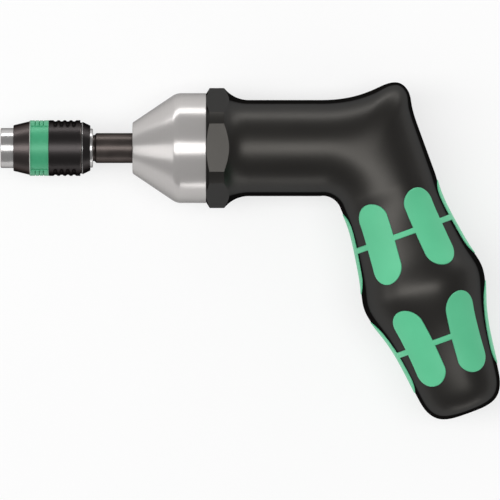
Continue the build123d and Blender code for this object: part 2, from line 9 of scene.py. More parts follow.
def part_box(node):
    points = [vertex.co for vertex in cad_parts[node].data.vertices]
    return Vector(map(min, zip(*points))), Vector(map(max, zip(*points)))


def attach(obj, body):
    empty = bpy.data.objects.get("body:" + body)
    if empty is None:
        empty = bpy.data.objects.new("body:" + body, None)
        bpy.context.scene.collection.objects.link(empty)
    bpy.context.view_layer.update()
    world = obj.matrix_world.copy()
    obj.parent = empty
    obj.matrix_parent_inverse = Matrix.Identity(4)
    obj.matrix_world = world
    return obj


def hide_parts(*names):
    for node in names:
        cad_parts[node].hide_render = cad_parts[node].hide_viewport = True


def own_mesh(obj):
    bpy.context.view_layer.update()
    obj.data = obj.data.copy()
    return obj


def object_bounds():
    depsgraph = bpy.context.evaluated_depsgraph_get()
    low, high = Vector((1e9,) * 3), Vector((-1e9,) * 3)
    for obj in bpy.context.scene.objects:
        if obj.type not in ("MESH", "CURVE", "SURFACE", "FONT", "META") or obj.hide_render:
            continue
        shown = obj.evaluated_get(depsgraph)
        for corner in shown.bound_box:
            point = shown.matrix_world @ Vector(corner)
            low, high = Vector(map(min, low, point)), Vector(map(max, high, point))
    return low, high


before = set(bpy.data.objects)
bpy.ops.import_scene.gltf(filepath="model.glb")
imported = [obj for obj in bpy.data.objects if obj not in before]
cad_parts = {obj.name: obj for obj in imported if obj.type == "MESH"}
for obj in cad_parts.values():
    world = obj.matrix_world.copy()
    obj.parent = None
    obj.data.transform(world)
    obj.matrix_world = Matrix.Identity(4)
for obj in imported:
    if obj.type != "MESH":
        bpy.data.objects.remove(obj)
cad_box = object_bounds()

# Chuck body.
# A turned and polished steel nose with a hexagon socket for the bit. Two balls sit in its wall, a magnet at
# the bottom of the socket, and its tail holds the spindle's spigot. Lengths are in millimetres.
MM = 0.001
SHARP = math.radians(28)


def linear(hex_colour):
    """The linear RGBA of an sRGB colour such as 5cc092."""
    levels = [int(hex_colour[i : i + 2], 16) / 255 for i in (0, 2, 4)]
    return [v / 12.92 if v <= 0.04045 else ((v + 0.055) / 1.055) ** 2.4 for v in levels] + [1.0]


def add_node(tree, kind, inputs=None, **settings):
    """One shader node. inputs gives each socket a value, or the output of another node to link to it."""
    made = tree.nodes.new(kind)
    for name, value in settings.items():
        setattr(made, name, value)
    for name, value in (inputs or {}).items():
        if isinstance(value, bpy.types.NodeSocket):
            tree.links.new(value, made.inputs[name])
        else:
            made.inputs[name].default_value = value
    return made


def new_material(name):
    """An empty node material, and the Object coordinates of the piece that it is on."""
    material = bpy.data.materials.new(name)
    material.use_nodes = True
    tree = material.node_tree
    tree.nodes.clear()
    place = add_node(tree, "ShaderNodeTexCoord").outputs["Object"]
    return material, tree, place


def close_material(tree, inputs):
    """The surface shader of a material and its output."""
    shader = add_node(tree, "ShaderNodeBsdfPrincipled", inputs)
    add_node(tree, "ShaderNodeOutputMaterial", {"Surface": shader.outputs["BSDF"]})


def spun(outline, steps=96):
    """A closed outline of (x, radius) points, but for a side on the drive axis, turned about that axis."""
    bm = bmesh.new()
    corners = [bm.verts.new((x, 0, radius)) for x, radius in outline]
    pairs = zip(corners, corners[1:] + corners[:1])
    sides = [bm.edges.new(pair) for pair in pairs if pair[0].co.z or pair[1].co.z]
    turn = {"axis": (1, 0, 0), "cent": (0, 0, 0), "angle": math.tau, "steps": steps, "use_merge": True}
    bmesh.ops.spin(bm, geom=corners + sides, **turn)
    bmesh.ops.remove_doubles(bm, verts=bm.verts, dist=1e-4)
    bmesh.ops.dissolve_degenerate(bm, edges=bm.edges, dist=1e-4)
    bmesh.ops.recalc_face_normals(bm, faces=bm.faces)
    return bm


def ease_edges(bm, width, chosen=lambda edge: True, segments=3):
    """Rounds the sharp edges of a mesh by a width."""
    sharp = [e for e in bm.edges if e.is_manifold and e.calc_face_angle() > SHARP and chosen(e)]
    settings = {"affect": "EDGES", "segments": segments, "profile": 0.5, "material": -1}
    bmesh.ops.bevel(bm, geom=sharp, offset=width, offset_type="OFFSET", **settings)


def prism(sides, radius, depth, place):
    """A closed prism or rod along its own Z from 0 to depth, put in its place by a matrix."""
    bm = bmesh.new()
    ring = bmesh.ops.create_circle(bm, cap_ends=True, segments=sides, radius=radius)
    pushed = bmesh.ops.extrude_face_region(bm, geom=list(bm.faces))
    ends = [v for v in pushed["geom"] if isinstance(v, bmesh.types.BMVert)]
    bmesh.ops.translate(bm, verts=ends, vec=(0, 0, depth))
    bmesh.ops.recalc_face_normals(bm, faces=bm.faces)
    bmesh.ops.transform(bm, matrix=place, verts=bm.verts)
    return bm


def carved(bm, tools, operation="DIFFERENCE"):
    """The mesh with each tool cut out of it, or joined to it with UNION."""
    for tool in tools:
        pair = []
        for part in (bm, tool):
            mesh = bpy.data.meshes.new("blank")
            part.to_mesh(mesh)
            part.free()
            pair.append(bpy.data.objects.new("blank", mesh))
            bpy.context.scene.collection.objects.link(pair[-1])
        cut = pair[0].modifiers.new("cut", "BOOLEAN")
        cut.operation, cut.solver, cut.object = operation, "EXACT", pair[1]
        bm = bmesh.new()
        bm.from_object(pair[0], bpy.context.evaluated_depsgraph_get())
        for blank in pair:
            mesh = blank.data
            bpy.data.objects.remove(blank)
            bpy.data.meshes.remove(mesh)
    bmesh.ops.remove_doubles(bm, verts=bm.verts, dist=2e-3)
    bmesh.ops.dissolve_degenerate(bm, edges=bm.edges, dist=1e-3)
    return bm


def finish_piece(bm, name, body, slot, material, *nodes):
    """Makes the piece from its mesh in millimetres, and lets it ride on its body in place of the CAD nodes.
    Edges that were marked sharp before stay sharp."""
    for face in bm.faces:
        face.smooth = True
    for edge in bm.edges:
        if edge.is_manifold and edge.calc_face_angle() > SHARP:
            edge.smooth = False
    bmesh.ops.scale(bm, vec=(MM, MM, MM), verts=bm.verts)
    mesh = bpy.data.meshes.new(name)
    bm.to_mesh(mesh)
    bm.free()
    piece = bpy.data.objects.new(name, mesh)
    bpy.context.scene.collection.objects.link(piece)
    mesh.materials.append(material)
    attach(piece, body)
    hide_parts(*nodes)
    return piece


def dress(material, *nodes):
    """Gives CAD nodes that stay as they are a material."""
    for name in nodes:
        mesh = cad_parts[name].data
        mesh.materials.clear()
        mesh.materials.append(material)


def span(node):
    """Front, rear and outer radius of a CAD node on the drive axis, in millimetres."""
    low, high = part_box(node)
    return low.x / MM, high.x / MM, high.z / MM


def polished_steel():
    """Polished carbon steel, nickel bright. It mirrors the lamps as hard white streaks between greys, and
    the 0.1 mm turning marks only soften them along the axis. The edge tint keeps its rims grey."""
    material, tree, place = new_material("polished_steel")
    across = add_node(tree, "ShaderNodeSeparateXYZ", {"Vector": place})
    turned = {"W": across.outputs["X"], "Scale": 9000.0, "Detail": 2.0}
    lathe = add_node(tree, "ShaderNodeTexNoise", turned, noise_dimensions="1D")
    wear = add_node(tree, "ShaderNodeTexNoise", {"Vector": place, "Scale": 400.0, "Detail": 3.0})
    spread = {"Value": wear.outputs["Fac"], "To Min": 0.18, "To Max": 0.28}
    rough = add_node(tree, "ShaderNodeMapRange", spread)
    ridge = {"Height": lathe.outputs["Fac"], "Strength": 0.12, "Distance": 0.00002}
    close_material(
        tree,
        {
            "Base Color": linear("c0bebd"),
            "Metallic": 0.9,
            "Specular Tint": linear("6a6a6a"),
            "Roughness": rough.outputs["Result"],
            "Normal": add_node(tree, "ShaderNodeBump", ridge).outputs["Normal"],
        },
    )
    return material


polished = polished_steel()
along_x = Matrix.Rotation(math.radians(90), 4, "Y") @ Matrix.Rotation(math.radians(90), 4, "Z")
SOCKET_FLATS, SOCKET_DEPTH, POCKET_RADIUS, POCKET_FLOOR = 6.45, 14.5, 2.95, 17.0
NOSE_LENGTH, TAIL_RADIUS, SPIGOT_RADIUS, SPIGOT_START = 13.5, 5.2, 3.62, 18.0
BALL_AT, BALL_RADIUS, PIN_AT, PIN_RADIUS, NOSE_EDGE, OVERRUN = 9.5, 1.8, 23.0, 0.77, 0.4, 1.0
nose_front, nose_rear, nose_radius = span("chuck_body")
nose = spun(
    [
        (nose_front, 0),
        (nose_front, nose_radius),
        (NOSE_LENGTH, nose_radius),
        (NOSE_LENGTH, TAIL_RADIUS),
        (nose_rear, TAIL_RADIUS),
        (nose_rear, SPIGOT_RADIUS),
        (SPIGOT_START, SPIGOT_RADIUS),
        (SPIGOT_START, 0),
    ]
)
ease_edges(nose, NOSE_EDGE)
hexagon = SOCKET_FLATS / 2 / math.cos(math.radians(30))
upright = Matrix.Rotation(math.radians(90), 4, "X")
past_wall = nose_radius + OVERRUN
tools = [
    prism(6, hexagon, SOCKET_DEPTH + OVERRUN, Matrix.Translation((-OVERRUN, 0, 0)) @ along_x),
    prism(48, POCKET_RADIUS, POCKET_FLOOR, along_x),
    prism(32, BALL_RADIUS, 2 * past_wall, Matrix.Translation((BALL_AT, 0, -past_wall))),
    prism(24, PIN_RADIUS, 2 * past_wall, Matrix.Translation((PIN_AT, past_wall, 0)) @ upright),
]
finish_piece(carved(nose, tools), "bit_nose", "spindle", "bright_steel", polished, "chuck_body")
dress(polished, "lock_ball_upper", "lock_ball_lower", "chuck_pin", "clutch_balls", "clutch_key_pins")
dress(polished, "front_thrust_washer", "load_thrust_washer")


# Magnet.
# A nickel plated disc at the bottom of the socket, which holds the bit's end.
def nickel_plate():
    """Bright nickel plating, with faint cloudy patches."""
    material, tree, place = new_material("nickel_plate")
    cloud = add_node(tree, "ShaderNodeTexNoise", {"Vector": place, "Scale": 700.0, "Detail": 2.0})
    spread = {"Value": cloud.outputs["Fac"], "To Min": 0.15, "To Max": 0.3}
    rough = add_node(tree, "ShaderNodeMapRange", spread)
    plate = {"Base Color": linear("c9c4ba"), "Metallic": 1.0, "Roughness": rough.outputs["Result"]}
    close_material(tree, plate)
    return material


dress(nickel_plate(), "bit_magnet")


# Springs.
# Drawn spring wire, oil tempered: the lift spring round the magnet, the release spring behind the balls and
# the torque spring in the handle. The last two get meshes of their own; each one's joint, travel and the
# end that stays are listed, but not applied here.
def spring_wire():
    """Oil tempered spring steel, blue grey, with the long scratches of the drawing die."""
    material, tree, place = new_material("spring_wire")
    scratch = add_node(tree, "ShaderNodeTexNoise", {"Vector": place, "Scale": 1500.0, "Detail": 4.0})
    tones = {"Fac": scratch.outputs["Fac"], "Color1": linear("4b4d52"), "Color2": linear("7d7f84")}
    tone = add_node(tree, "ShaderNodeMixRGB", tones)
    close_material(tree, {"Base Color": tone.outputs["Color"], "Metallic": 1.0, "Roughness": 0.36})
    return material


dress(spring_wire(), "bit_lift_spring", "release_spring", "main_spring")
SLEEVE_TRAVEL, PLATE_TRAVEL, FRONT_END, REAR_END = 2.6, 0.7, 0, 1
squeezed = [
    ("release_spring", "sleeve_slide", SLEEVE_TRAVEL, FRONT_END),
    ("main_spring", "plate_lift", PLATE_TRAVEL, REAR_END),
]
for node, joint, travel, fixed_end in squeezed:
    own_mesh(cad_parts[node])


# Lock sleeve and clutch parts.
# Hardened steel with a black oxide skin: the sleeve that holds the balls in, the clutch plates, their
# retaining ring, and the spring's seat and nuts.
def black_oxide():
    """Black oxide on turned steel: a thin dark brown-black skin that still shines like metal, worn a little
    lighter where the noise is high."""
    material, tree, place = new_material("black_oxide_steel")
    across = add_node(tree, "ShaderNodeSeparateXYZ", {"Vector": place})
    turned = {"W": across.outputs["X"], "Scale": 5200.0, "Detail": 3.0}
    lathe = add_node(tree, "ShaderNodeTexNoise", turned, noise_dimensions="1D")
    patch = add_node(tree, "ShaderNodeTexNoise", {"Vector": place, "Scale": 260.0, "Detail": 3.0})
    tones = {"Fac": patch.outputs["Fac"], "Color1": linear("453f3d"), "Color2": linear("59524f")}
    tone = add_node(tree, "ShaderNodeMixRGB", tones)
    spread = {"Value": patch.outputs["Fac"], "To Min": 0.3, "To Max": 0.42}
    rough = add_node(tree, "ShaderNodeMapRange", spread)
    ridge = {"Height": lathe.outputs["Fac"], "Strength": 0.25, "Distance": 0.00002}
    close_material(
        tree,
        {
            "Base Color": tone.outputs["Color"],
            "Metallic": 0.9,
            "Specular Tint": linear("3c3c3c"),
            "Roughness": rough.outputs["Result"],
            "Normal": add_node(tree, "ShaderNodeBump", ridge).outputs["Normal"],
        },
    )
    return material


dark_steel = black_oxide()
dress(dark_steel, "lock_sleeve", "clutch_plate", "pressure_plate", "clutch_retaining_ring")
dress(dark_steel, "spring_seat", "adjusting_nut", "lock_nut")


# Outer sleeve.
# A black anodised aluminium carrier with a cone in front. It turns freely on the lock sleeve, and carries
# the green ring and the ribbed ring, which a rear cap holds on.
def black_anodised(name, film, rim):
    """Black anodised aluminium: a satin black film on metal, with a soft highlight, dark rims and a very
    fine turned grain."""
    material, tree, place = new_material(name)
    across = add_node(tree, "ShaderNodeSeparateXYZ", {"Vector": place})
    turned = {"W": across.outputs["X"], "Scale": 6000.0, "Detail": 2.0}
    lathe = add_node(tree, "ShaderNodeTexNoise", turned, noise_dimensions="1D")
    speck = add_node(tree, "ShaderNodeTexNoise", {"Vector": place, "Scale": 3000.0, "Detail": 2.0})
    spread = {"Value": speck.outputs["Fac"], "To Min": 0.3, "To Max": 0.4}
    rough = add_node(tree, "ShaderNodeMapRange", spread)
    ridge = {"Height": lathe.outputs["Fac"], "Strength": 0.2, "Distance": 0.00002}
    close_material(
        tree,
        {
            "Base Color": linear(film),
            "Metallic": 1.0,
            "Specular Tint": linear(rim),
            "Roughness": rough.outputs["Result"],
            "Normal": add_node(tree, "ShaderNodeBump", ridge).outputs["Normal"],
        },
    )
    return material


warm_black = black_anodised("brown_black_anodised_aluminium", "4e4847", "565250")
CONE_REAR, NOSE_BORE, LOCK_SLEEVE_FRONT, CARRIER_BORE, CARRIER_RADIUS = 9.0, 6.3, 7.7, 7.45, 7.95
CONE_FRONT_RADIUS, CONE_REAR_RADIUS, CONE_EDGE = 7.1, 8.3, 0.15
core_front, core_rear, _ = span("sleeve_core")
core = spun(
    [
        (core_front, NOSE_BORE),
        (LOCK_SLEEVE_FRONT, NOSE_BORE),
        (LOCK_SLEEVE_FRONT, CARRIER_BORE),
        (core_rear, CARRIER_BORE),
        (core_rear, CARRIER_RADIUS),
        (CONE_REAR, CARRIER_RADIUS),
        (CONE_REAR, CONE_REAR_RADIUS),
        (core_front, CONE_FRONT_RADIUS),
    ]
)
ease_edges(core, CONE_EDGE, segments=4)
finish_piece(core, "sleeve_cone", "outer_sleeve", "black_sleeve", warm_black, "sleeve_core")


# Green ring.
# An anodised aluminium band between two thin rims, whose edges are cut bright. Smooth fields face up and
# down, and between them its sides are covered with small studs for the fingers.
def green_anodised():
    """Green anodised aluminium, satin, with the dye a little uneven."""
    material, tree, place = new_material("green_anodised_aluminium")
    dye = add_node(tree, "ShaderNodeTexNoise", {"Vector": place, "Scale": 500.0, "Detail": 3.0})
    tones = {"Fac": dye.outputs["Fac"], "Color1": linear("38966b"), "Color2": linear("44a67a")}
    tone = add_node(tree, "ShaderNodeMixRGB", tones)
    grain = add_node(tree, "ShaderNodeTexNoise", {"Vector": place, "Scale": 6000.0, "Detail": 2.0})
    pits = {"Height": grain.outputs["Fac"], "Strength": 0.15, "Distance": 0.00002}
    close_material(
        tree,
        {
            "Base Color": tone.outputs["Color"],
            "Metallic": 0.15,
            "Roughness": 0.4,
            "Normal": add_node(tree, "ShaderNodeBump", pits).outputs["Normal"],
        },
    )
    return material


RING_BORE, RIM_WIDTH, RIM_EASE, FIELD_DROP, STUD_ROWS, RING_STEPS = 7.97, 0.5, 0.22, 0.2, 4, 72
SMOOTH_FIELD_TURN, GROOVE_TURN, STUD_SINK, STUD_WALL, STUD_RISE, STUD_GAP = 50.0, 5.0, 0.18, 0.04, 0.34, 0.2
TOUCH, CLOSE = 0.01, 0.1  # how near is taken as the same place, and as about the same radius
ring_front, ring_rear, ring_radius = span("colour_ring")
field_radius = ring_radius - FIELD_DROP
field_front, field_rear = ring_front + RIM_WIDTH, ring_rear - RIM_WIDTH
row = (field_rear - field_front) / STUD_ROWS
middle_x = (ring_front + ring_rear) / 2
half_length = (ring_rear - ring_front) / 2


def turn_from_top(place):
    """How far round the ring a place lies from the middle of the nearer smooth field, in degrees."""
    return math.degrees(math.atan2(abs(place.y), abs(place.z)))


def at_ring_end(place):
    """Whether a place is on an end of the ring, on its rim."""
    return abs(place.x - middle_x) > half_length - TOUCH and place.yz.length > field_radius


def on_field(place, radius):
    """Whether a place lies between the rims, at about this radius."""
    return field_front < place.x < field_rear and abs(place.yz.length - radius) < CLOSE


ring = spun(
    [
        (ring_front, RING_BORE),
        (ring_rear, RING_BORE),
        (ring_rear, ring_radius),
        (field_rear, ring_radius),
        *[(field_rear - row * step, field_radius) for step in range(STUD_ROWS + 1)],
        (field_front, ring_radius),
        (ring_front, ring_radius),
    ],
    RING_STEPS,
)
ease_edges(ring, RIM_EASE, lambda edge: all(at_ring_end(vert.co) for vert in edge.verts), 1)

# The slanting faces that ease the two end edges are cut through the dye, down to bright metal.
for face in ring.faces:
    middle = face.calc_center_median()
    outermost = abs(middle.x - middle_x) > half_length - RIM_EASE and middle.yz.length > field_radius
    face.material_index = int(outermost and 0.2 < abs(face.normal.x) < 0.9)

# The studded sides are sunk between the rims and the smooth fields.
sunk = []
for face in ring.faces:
    middle = face.calc_center_median()
    if on_field(middle, field_radius) and turn_from_top(middle) > SMOOTH_FIELD_TURN:
        sunk.append(face)
bmesh.ops.inset_region(ring, faces=sunk, thickness=STUD_WALL, depth=-STUD_SINK, use_even_offset=True)

# Each stud takes two of the ring's steps. The first step beside a smooth field stays sunk, as a dark line.
seams = []
for edge in dict.fromkeys(edge for face in sunk for edge in face.edges):
    middle = (edge.verts[0].co + edge.verts[1].co) / 2
    step = turn_from_top(middle) / GROOVE_TURN
    lengthwise = abs(edge.verts[0].co.x - edge.verts[1].co.x) > row / 2
    every_second = abs(step - round(step)) < 0.1 and round(step) % 2 == 0
    if lengthwise and every_second and len(edge.link_faces) == 2:
        seams.append(edge)
bmesh.ops.dissolve_edges(ring, edges=seams, use_verts=False)
studs = []
for face in ring.faces:
    middle = face.calc_center_median()
    past_line = turn_from_top(middle) > SMOOTH_FIELD_TURN + GROOVE_TURN
    if past_line and on_field(middle, field_radius - STUD_SINK) and abs(face.normal.x) < 0.5:
        studs.append(face)
bmesh.ops.inset_individual(ring, faces=studs, thickness=STUD_GAP, depth=STUD_RISE)
ring_piece = finish_piece(ring, "green_ring", "outer_sleeve", "green_ring", green_anodised(), "colour_ring")
ring_piece.data.materials.append(polished)

# Ribbed ring.
# A black anodised ring with rounded grooves milled into its two sides. The grooves run out towards smooth
# fields at the top and the bottom.
RIB_COUNT, RIB_HALF_SWEEP, RIB_RUN_OUT, RIB_STEP = 5, 41.0, 7.0, 0.12
VALLEY_WIDTH, VALLEY_DEPTH = 1.28, 0.37
ribs_front, ribs_rear, ribs_radius = span("ribbed_ring")
rib_pitch = (ribs_rear - ribs_front) / RIB_COUNT
rib_lines = round((ribs_rear - ribs_front) / RIB_STEP)
rib_step = (ribs_rear - ribs_front) / rib_lines
skin = [(ribs_rear - rib_step * line, ribs_radius) for line in range(rib_lines + 1)]
ribbed = spun([(ribs_front, RING_BORE), (ribs_rear, RING_BORE), *skin])
for vertex in ribbed.verts:
    radius = math.hypot(vertex.co.y, vertex.co.z)
    from_valley = (vertex.co.x - ribs_front) / rib_pitch
    off_centre = abs(from_valley - round(from_valley)) * rib_pitch * 2 / VALLEY_WIDTH
    inside = 0 < round(from_valley) < RIB_COUNT and off_centre < 1
    if radius > RING_BORE + CLOSE and inside:
        turn = math.degrees(math.atan2(abs(vertex.co.z), abs(vertex.co.y)))
        share = min(1.0, max(0.0, (RIB_HALF_SWEEP - turn) / RIB_RUN_OUT))
        sunk = VALLEY_DEPTH * share * (1 - off_centre**2)
        vertex.co.yz *= (radius - sunk) / radius
plain_black = black_anodised("plain_black_anodised_aluminium", "3a3737", "242323")
finish_piece(ribbed, "ribbed_sleeve", "outer_sleeve", "black_sleeve", plain_black, "ribbed_ring")

# Sleeve cap.
# A black anodised cap that closes the sleeve. Its front edge is turned bright, as a thin light line, and
# its chamfer falls towards the steel collar.
CAP_BORE, COLLAR_FRONT, COLLAR_CLEAR = 6.9, 26.4, 6.15
CAP_REAR_RADIUS, CAP_EDGE_RUN, CAP_EDGE_DROP = 7.0, 0.4, 0.2
cap_front, cap_rear, cap_radius = span("sleeve_cap")
cap = spun(
    [
        (cap_front, CAP_BORE),
        (COLLAR_FRONT, CAP_BORE),
        (COLLAR_FRONT, COLLAR_CLEAR),
        (cap_rear, COLLAR_CLEAR),
        (cap_rear, CAP_REAR_RADIUS),
        (cap_front + CAP_EDGE_RUN, cap_radius),
        (cap_front, cap_radius - CAP_EDGE_DROP),
    ]
)
for face in cap.faces:
    middle = face.calc_center_median()
    if middle.x < cap_front + CAP_EDGE_RUN and middle.yz.length > CAP_BORE + 0.5:
        face.material_index = int(face.normal.x > -0.99)
cap_piece = finish_piece(cap, "sleeve_end_cap", "outer_sleeve", "black_sleeve", plain_black, "sleeve_cap")
cap_piece.data.materials.append(polished)

# Rear collar.
# A polished steel ring, pressed on the chuck's tail behind the sleeve.
COLLAR_EDGE = 0.3
collar_front, collar_rear, collar_radius = span("rear_collar")
collar = spun(
    [
        (collar_front, TAIL_RADIUS),
        (collar_rear, TAIL_RADIUS),
        (collar_rear, collar_radius),
        (collar_front, collar_radius),
    ]
)
ease_edges(collar, COLLAR_EDGE, lambda edge: edge.verts[0].co.x > collar_rear - TOUCH, 4)
finish_piece(collar, "steel_collar", "spindle", "bright_steel", polished, "rear_collar")

# Spindle.
# One turned steel bar: a spigot in the chuck, the bare shaft, a flange inside the housing, a hexagon for
# the pressure plate and a stud for the spring's nuts.
NECK_FRONT, NECK_RADIUS, SHAFT_FRONT, SHAFT_EDGE = 28.65, 4.05, 29.1, 0.6
SHAFT_RADIUS, SHAFT_SPIGOT, FLANGE_FRONT, FLANGE_REAR, FLANGE_RADIUS = 4.65, 3.6, 53.6, 56.6, 8.6
PLATE_REAR, HEX_END, STUD_RADIUS, HEX_FLATS, HEX_OVERLAP = 61.6, 72.0, 3.97, 8.0, 0.5
spindle_front, spindle_rear, _ = span("spindle")
bar = spun(
    [
        (spindle_front, 0),
        (spindle_front, SHAFT_SPIGOT),
        (NECK_FRONT, SHAFT_SPIGOT),
        (NECK_FRONT, NECK_RADIUS),
        (SHAFT_FRONT, NECK_RADIUS),
        (SHAFT_FRONT + SHAFT_EDGE, SHAFT_RADIUS),
        (FLANGE_FRONT, SHAFT_RADIUS),
        (FLANGE_FRONT, FLANGE_RADIUS),
        (FLANGE_REAR, FLANGE_RADIUS),
        (FLANGE_REAR, SHAFT_RADIUS),
        (PLATE_REAR, SHAFT_RADIUS),
        (PLATE_REAR, STUD_RADIUS),
        (spindle_rear, STUD_RADIUS),
        (spindle_rear, 0),
    ]
)
flats_place = Matrix.Translation((PLATE_REAR - HEX_OVERLAP, 0, 0)) @ along_x
flats_radius = HEX_FLATS / 2 / math.cos(math.radians(30))
flats = prism(6, flats_radius, HEX_END - PLATE_REAR + HEX_OVERLAP, flats_place)
bar = carved(bar, [flats], "UNION")
finish_piece(bar, "spindle_bar", "spindle", "dark_steel", dark_steel, "spindle")


# Front housing.
# Turned from aluminium bar: a cone, a soft shoulder and a cylinder, with a bore for the clutch and a
# threaded spigot that screws into the handle.
def turned_aluminium():
    """Fine turned aluminium. The tool's marks run round it, 0.2 mm apart, and stretch each lamp's
    reflection along the axis, so a lamp shows as a bright band between greys."""
    material, tree, place = new_material("turned_aluminium")
    across = add_node(tree, "ShaderNodeSeparateXYZ", {"Vector": place})
    turned = {"W": across.outputs["X"], "Scale": 5000.0, "Detail": 3.0}
    lathe = add_node(tree, "ShaderNodeTexNoise", turned, noise_dimensions="1D")
    tones = {"Fac": lathe.outputs["Fac"], "Color1": linear("b6b3b1"), "Color2": linear("c0bdbb")}
    tone = add_node(tree, "ShaderNodeMixRGB", tones)
    ridge = {"Height": lathe.outputs["Fac"], "Strength": 0.3, "Distance": 0.00003}
    close_material(
        tree,
        {
            "Base Color": tone.outputs["Color"],
            "Metallic": 0.55,
            "Specular Tint": linear("484848"),
            "Roughness": 0.22,
            "Normal": add_node(tree, "ShaderNodeBump", ridge).outputs["Normal"],
        },
    )
    return material


HOUSING_STEPS, HOUSING_FRONT_RADIUS, CONE_LENGTH, HOUSING_REAR = 144, 7.9, 13.6, 63.8
SHOULDER_EASE, END_EASE = 1.35, 0.3
SHAFT_CLEAR, BUSH_FRONT, BUSH_RADIUS, BUSH_REAR, CAVITY_RADIUS = 4.95, 41.5, 6.22, 53.0, 9.0
CAVITY_REAR, CLUTCH_BORE, SPIGOT_REAR_AT, SPIGOT_OUTER = 57.6, 11.0, 73.8, 12.4
housing_front, _, housing_radius = span("front_housing")
housing = spun(
    [
        (housing_front, SHAFT_CLEAR),
        (BUSH_FRONT, SHAFT_CLEAR),
        (BUSH_FRONT, BUSH_RADIUS),
        (BUSH_REAR, BUSH_RADIUS),
        (BUSH_REAR, CAVITY_RADIUS),
        (CAVITY_REAR, CAVITY_RADIUS),
        (CAVITY_REAR, CLUTCH_BORE),
        (SPIGOT_REAR_AT, CLUTCH_BORE),
        (SPIGOT_REAR_AT, SPIGOT_OUTER),
        (HOUSING_REAR, SPIGOT_OUTER),
        (HOUSING_REAR, housing_radius),
        (housing_front + CONE_LENGTH, housing_radius),
        (housing_front, HOUSING_FRONT_RADIUS),
    ],
    HOUSING_STEPS,
)


def at_outer_end(place):
    """Whether a place is on the housing's front face, or on the outer edge of its rear face."""
    in_front = abs(place.x - housing_front) < TOUCH
    behind = abs(place.x - HOUSING_REAR) < TOUCH and place.yz.length > SPIGOT_OUTER + CLOSE
    return in_front or behind


shoulder_at = housing_front + CONE_LENGTH
ease_edges(housing, SHOULDER_EASE, lambda edge: abs(edge.verts[0].co.x - shoulder_at) < TOUCH, 8)
ease_edges(housing, END_EASE, lambda edge: all(at_outer_end(vert.co) for vert in edge.verts), 4)
bright_turned = turned_aluminium()
finish_piece(housing, "aluminium_housing", "handle", "turned_aluminium", bright_turned, "front_housing")


# Bush and insert.
# A sintered bronze bush that carries the spindle, and the brass insert that is moulded into the handle.
def plain_metal(name, colour, other, rough):
    """A machined copper alloy: sintered bronze is porous and dull, turned brass is yellow and brighter."""
    material, tree, place = new_material(name)
    pores = add_node(tree, "ShaderNodeTexNoise", {"Vector": place, "Scale": 2500.0, "Detail": 3.0})
    tones = {"Fac": pores.outputs["Fac"], "Color1": linear(colour), "Color2": linear(other)}
    tone = add_node(tree, "ShaderNodeMixRGB", tones)
    close_material(tree, {"Base Color": tone.outputs["Color"], "Metallic": 1.0, "Roughness": rough})
    return material


dress(plain_metal("sintered_bronze", "8a6642", "a57c52", 0.5), "front_bush")
dress(plain_metal("turned_brass", "b8934a", "ccaa62", 0.3), "threaded_insert")


# Handle body.
# One moulding in black glass-filled nylon: a hexagon collar, a concave flare, the bored barrel, the elbow
# with its horn, whose ridge bends round the inner corner, and the grip with pockets for its soft pads.
def black_nylon():
    """Moulded black nylon, satin from a fine spark-eroded mould, with broad soft highlights. The grain of
    0.15 mm only breaks up a highlight's edge. Where the skin turns away, it loses its gloss."""
    material, tree, place = new_material("moulded_black_nylon")
    grain = add_node(tree, "ShaderNodeTexNoise", {"Vector": place, "Scale": 6500.0, "Detail": 2.0})
    handled = add_node(tree, "ShaderNodeTexNoise", {"Vector": place, "Scale": 60.0, "Detail": 4.0})
    spread = {"Value": handled.outputs["Fac"], "To Min": 0.33, "To Max": 0.41}
    rough = add_node(tree, "ShaderNodeMapRange", spread)
    tones = {"Fac": handled.outputs["Fac"], "Color1": linear("0e0d0d"), "Color2": linear("131211")}
    tone = add_node(tree, "ShaderNodeMixRGB", tones)
    pits = {"Height": grain.outputs["Fac"], "Strength": 0.12, "Distance": 0.00002}
    turned_away = add_node(tree, "ShaderNodeLayerWeight", {"Blend": 0.5})
    fall = {"From Min": 0.2, "From Max": 0.62, "To Min": 0.5, "To Max": 0.0}
    gloss = add_node(tree, "ShaderNodeMapRange", {"Value": turned_away.outputs["Facing"], **fall})
    close_material(
        tree,
        {
            "Base Color": tone.outputs["Color"],
            "Specular IOR Level": gloss.outputs["Result"],
            "Specular Tint": linear("fffaf2"),
            "Roughness": rough.outputs["Result"],
            "Normal": add_node(tree, "ShaderNodeBump", pits).outputs["Normal"],
        },
    )
    return material


SMOOTHING_ROUNDS = 40


def drawn(points, first, last, step):
    """Places about a step apart on a smooth line through the points, with a direction at each end of it."""
    points = [Vector(point) for point in points]
    gaps = [(b - a).length for a, b in zip(points, points[1:])]
    slopes = [Vector(first)] + [Vector((0, 0)) for _ in points[1:-1]] + [Vector(last)]
    for _ in range(SMOOTHING_ROUNDS):
        for i in range(1, len(points) - 1):
            before, after = gaps[i - 1], gaps[i]
            arriving, going = points[i] - points[i - 1], points[i + 1] - points[i]
            pull = arriving * (after / before) + going * (before / after)
            slopes[i] = (3 * pull - slopes[i - 1] * after - slopes[i + 1] * before) / (2 * (before + after))
    line = []
    for a, b, gap, leaving, coming in zip(points, points[1:], gaps, slopes, slopes[1:]):
        count = max(3, round(gap / step) + 1)
        line += interpolate_bezier(a, a + leaving * gap / 3, b - coming * gap / 3, b, count)[:-1]
    return [Vector(place[:2]) for place in line] + [points[-1]]


def station(ridge, across, radius, outer_radius=None):
    """One section of the handle: the matrix that lays a unit circle over it, and the stretch of its outer
    half. across lies in the XY plane and points to the outer side. The ridge is the highest place."""
    across = across.normalized().to_3d()
    upward = Vector((0, 0, 1))
    sides = (across * radius, upward * radius, across.cross(upward))
    stretch = outer_radius / radius if outer_radius else 1.0
    return Matrix.Translation(ridge.to_3d()) @ Matrix(sides).transposed().to_4x4(), stretch


